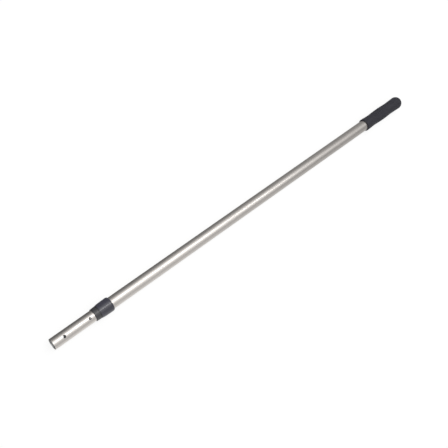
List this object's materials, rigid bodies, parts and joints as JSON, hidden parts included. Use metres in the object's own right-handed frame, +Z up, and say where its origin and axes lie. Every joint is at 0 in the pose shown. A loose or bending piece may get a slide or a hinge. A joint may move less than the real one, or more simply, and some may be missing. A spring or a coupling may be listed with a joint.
{
  "type": "roller extension pole",
  "caption": "Telescopic aluminium roller pole: slim inner tube with a cross hole and snap button, twist-lock collar, and a dark hand grip with a domed end.",
  "frame": {"origin": "middle of the pole's box at the surface it lies on, which its collar and grip rest on", "axes": "+X along the pole from the tool end to the hand grip, +Z up through the cross hole and the snap button"},
  "size_m": [1.16, 0.034, 0.034],
  "materials": {
    "outer_anodised": "satin anodised, fine lengthwise draw lines",
    "inner_anodised": "satin anodised, sliding wear",
    "collar_plastic": "moulded, low sheen",
    "soft_grip": "soft, finely dimpled",
    "black_plastic": "moulded",
    "natural_plastic": "moulded, waxy",
    "steel": "drawn",
    "button_steel": "pressed and tumbled",
    "felt": "pressed felt"
  },
  "bodies": {
    "handle_section": {"outer_tube": "outer_anodised", "tube_end_plug": "black_plastic", "grip_core": "black_plastic", "hand_grip": "soft_grip", "lock_ferrule": "black_plastic", "ferrule_rivet_left": "steel", "ferrule_rivet_right": "steel", "clamp_collet": "natural_plastic"},
    "clamp_ring": {"nose_ring": "collar_plastic", "wiper_ring": "felt", "slip_washer": "natural_plastic"},
    "twist_collar": {"lock_collar": "collar_plastic", "retaining_clip": "steel"},
    "guide": {"guide_bush": "natural_plastic"},
    "inner_section": {"inner_tube": "inner_anodised", "inner_end_plug": "black_plastic", "plug_pin": "steel", "spring_clip": "steel"},
    "button": {"snap_button": "button_steel"}
  },
  "joints": [
    {"name": "ring_advance", "type": "slide", "parent": "handle_section", "child": "clamp_ring", "axis": [-1, 0, 0], "range_m": [0, 0.002]},
    {"name": "collar_turn", "type": "hinge", "parent": "clamp_ring", "child": "twist_collar", "pos_m": [-0.445, 0, 0.017], "axis": [-1, 0, 0], "range_deg": [0, 180]},
    {"name": "telescope_slide", "type": "slide", "parent": "handle_section", "child": "guide", "axis": [-1, 0, 0], "range_m": [-0.0065, 0.82]},
    {"name": "inner_turn", "type": "hinge", "parent": "guide", "child": "inner_section", "pos_m": [0.496, 0, 0.017], "axis": [1, 0, 0], "continuous": true},
    {"name": "button_press", "type": "slide", "parent": "inner_section", "child": "button", "axis": [0, 0, -1], "range_m": [0, 0.0023], "stiffness_N_per_m": 3000, "springref_m": -0.001, "deforming": ["spring_clip"]}
  ],
  "couplings": [
    {"joint": "collar_turn", "follows": "ring_advance", "rad_per_m": 1570.8}
  ]
}
